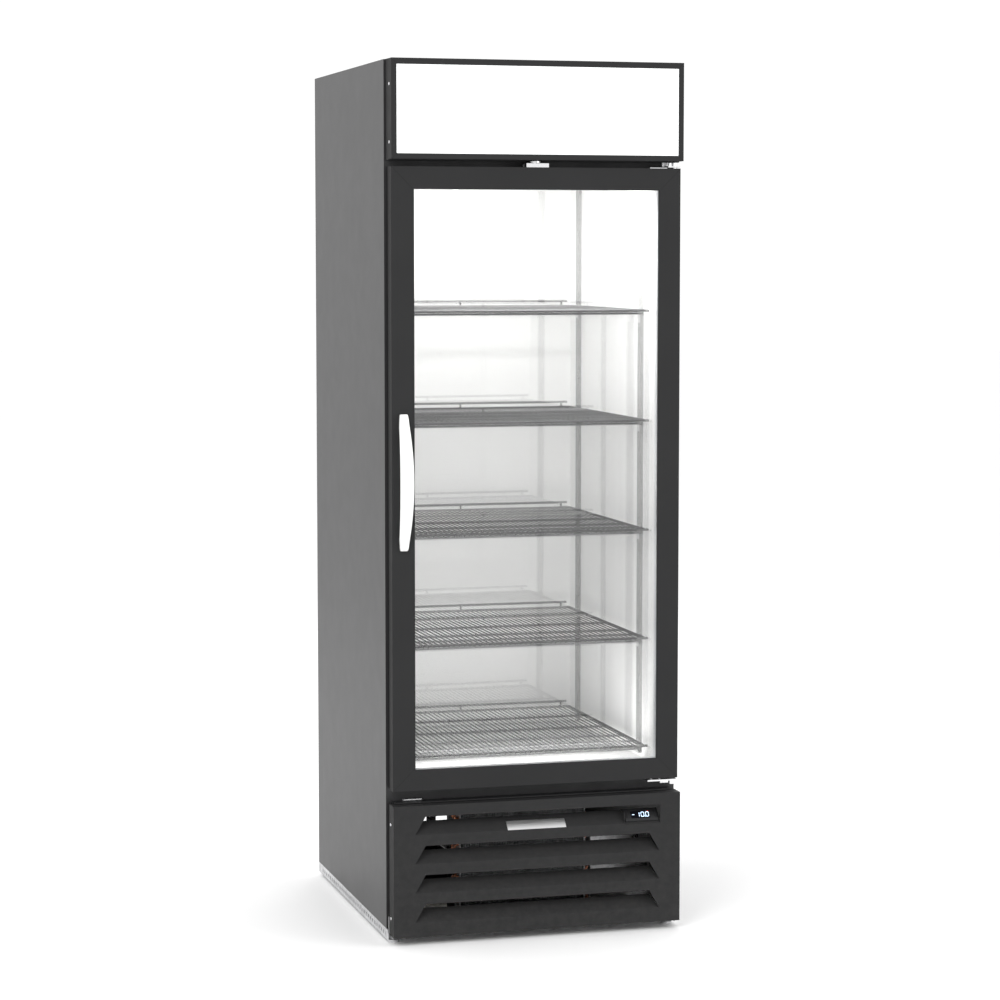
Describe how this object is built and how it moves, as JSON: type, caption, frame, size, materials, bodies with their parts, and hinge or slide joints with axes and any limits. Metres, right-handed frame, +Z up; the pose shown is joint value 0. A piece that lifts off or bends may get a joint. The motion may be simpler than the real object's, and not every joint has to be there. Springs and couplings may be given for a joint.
{
  "type": "glass door merchandiser",
  "caption": "Upright self-contained display freezer with a framed glass door, wire shelves, lit blank sign on top and a louvred machine compartment below.",
  "frame": {"origin": "centre of the bounding box at floor level", "axes": "+Z up, -Y towards the front where the door opens, +X to the viewer's right"},
  "size_m": [0.686, 0.838, 1.982],
  "materials": {
    "side_skin": "satin",
    "black_powder_coat": "satin",
    "black_plastic": "matte",
    "white_interior": "satin",
    "white_liner": "satin",
    "sign_white": "gloss",
    "lamp_white": "gloss",
    "clear_glass": "gloss",
    "zinc_steel": "satin",
    "bright_steel": "polished",
    "coated_wire": "satin",
    "fin_aluminium": "satin",
    "seal_rubber": "matte",
    "white_plastic": "satin",
    "foam": "matte",
    "copper": "satin",
    "compressor_black": "gloss",
    "display_window": "gloss",
    "plate_silver": "brushed"
  },
  "bodies": {
    "cabinet": {"side_panel_left": "side_skin", "side_panel_right": "side_skin", "top_panel": "black_powder_coat", "front_frame": "black_powder_coat", "header_panel": "black_powder_coat", "sign_frame": "black_powder_coat", "front_grille": "black_powder_coat", "condenser_shroud": "black_plastic", "controller_housing": "black_plastic", "cable_gland": "black_plastic", "drip_pan": "black_plastic", "evaporator_cover": "white_interior", "inner_liner": "white_liner", "sign_lens": "sign_white", "sign_light_bars": "lamp_white", "interior_light": "lamp_white", "back_panel": "zinc_steel", "base_frame": "zinc_steel", "pilasters": "zinc_steel", "shelf_clips": "zinc_steel", "fan_motors": "zinc_steel", "electrical_box": "zinc_steel", "panel_screws": "bright_steel", "hinge_bracket_top": "bright_steel", "hinge_bracket_bottom": "bright_steel", "door_rest_plate": "bright_steel", "lock_barrel": "bright_steel", "evaporator_coil": "fin_aluminium", "condenser_coil": "fin_aluminium", "temperature_probe": "white_plastic", "insulation": "foam", "refrigerant_lines": "copper", "compressor": "compressor_black", "controller_display": "display_window", "name_plate": "plate_silver"},
    "door": {"door_frame": "black_powder_coat", "door_glass_outer": "clear_glass", "door_glass_inner": "clear_glass", "glass_spacer": "fin_aluminium", "door_gasket": "seal_rubber", "door_handle": "white_plastic", "door_top_plates": "bright_steel", "hinge_bushes": "black_plastic"},
    "lock_plug": {"lock_plug": "bright_steel"},
    "lock_bolt": {"lock_bolt": "bright_steel"},
    "condenser_fan": {"condenser_fan": "black_plastic"},
    "evaporator_fan": {"evaporator_fan": "black_plastic"},
    "shelf_1": {"shelf_1": "coated_wire"},
    "shelf_2": {"shelf_2": "coated_wire"},
    "shelf_3": {"shelf_3": "coated_wire"},
    "shelf_4": {"shelf_4": "coated_wire"},
    "shelf_5": {"shelf_5": "coated_wire"},
    "foot_1": {"levelling_foot_1": "zinc_steel"},
    "button_1": {"controller_button_1": "black_plastic"},
    "foot_2": {"levelling_foot_2": "zinc_steel"},
    "button_2": {"controller_button_2": "black_plastic"},
    "foot_3": {"levelling_foot_3": "zinc_steel"},
    "button_3": {"controller_button_3": "black_plastic"},
    "foot_4": {"levelling_foot_4": "zinc_steel"},
    "button_4": {"controller_button_4": "black_plastic"}
  },
  "joints": [
    {"name": "door_hinge", "type": "hinge", "parent": "cabinet", "child": "door", "pos_m": [0.325, -0.366, 1.05], "axis": [0, 0, 1], "range_deg": [0, 110], "stiffness_Nm_per_rad": 2, "springref_deg": -8.59},
    {"name": "key_turn", "type": "hinge", "parent": "cabinet", "child": "lock_plug", "pos_m": [0, -0.348, 1.775], "axis": [0, 0, 1], "range_deg": [0, 90]},
    {"name": "bolt_drop", "type": "slide", "parent": "cabinet", "child": "lock_bolt", "axis": [0, 0, -1], "range_m": [0, 0.008]},
    {"name": "condenser_fan_spin", "type": "hinge", "parent": "cabinet", "child": "condenser_fan", "pos_m": [-0.02, -0.21, 0.172], "axis": [0, 1, 0], "continuous": true},
    {"name": "evaporator_fan_spin", "type": "hinge", "parent": "cabinet", "child": "evaporator_fan", "pos_m": [0, -0.088, 1.74], "axis": [0, 0, 1], "continuous": true},
    {"name": "shelf_1_lift", "type": "slide", "parent": "cabinet", "child": "shelf_1", "axis": [0, 0, 1], "range_m": [0, 0.012]},
    {"name": "shelf_2_lift", "type": "slide", "parent": "cabinet", "child": "shelf_2", "axis": [0, 0, 1], "range_m": [0, 0.012]},
    {"name": "shelf_3_lift", "type": "slide", "parent": "cabinet", "child": "shelf_3", "axis": [0, 0, 1], "range_m": [0, 0.012]},
    {"name": "shelf_4_lift", "type": "slide", "parent": "cabinet", "child": "shelf_4", "axis": [0, 0, 1], "range_m": [0, 0.012]},
    {"name": "shelf_5_lift", "type": "slide", "parent": "cabinet", "child": "shelf_5", "axis": [0, 0, 1], "range_m": [0, 0.012]},
    {"name": "foot_1_turn", "type": "hinge", "parent": "cabinet", "child": "foot_1", "pos_m": [-0.326, -0.33, 0.01], "axis": [0, 0, 1], "continuous": true},
    {"name": "foot_2_turn", "type": "hinge", "parent": "cabinet", "child": "foot_2", "pos_m": [0.326, -0.33, 0.01], "axis": [0, 0, 1], "continuous": true},
    {"name": "foot_3_turn", "type": "hinge", "parent": "cabinet", "child": "foot_3", "pos_m": [-0.326, 0.382, 0.01], "axis": [0, 0, 1], "continuous": true},
    {"name": "foot_4_turn", "type": "hinge", "parent": "cabinet", "child": "foot_4", "pos_m": [0.326, 0.382, 0.01], "axis": [0, 0, 1], "continuous": true},
    {"name": "button_1_press", "type": "slide", "parent": "cabinet", "child": "button_1", "axis": [0, 0.6823, -0.7311], "range_m": [0, 0.0008], "stiffness_N_per_m": 250, "springref_m": -0.0006},
    {"name": "button_2_press", "type": "slide", "parent": "cabinet", "child": "button_2", "axis": [0, 0.6823, -0.7311], "range_m": [0, 0.0008], "stiffness_N_per_m": 250, "springref_m": -0.0006},
    {"name": "button_3_press", "type": "slide", "parent": "cabinet", "child": "button_3", "axis": [0, 0.6823, -0.7311], "range_m": [0, 0.0008], "stiffness_N_per_m": 250, "springref_m": -0.0006},
    {"name": "button_4_press", "type": "slide", "parent": "cabinet", "child": "button_4", "axis": [0, 0.6823, -0.7311], "range_m": [0, 0.0008], "stiffness_N_per_m": 250, "springref_m": -0.0006}
  ],
  "couplings": [
    {"joint": "key_turn", "follows": "bolt_drop", "rad_per_m": 196.35}
  ]
}
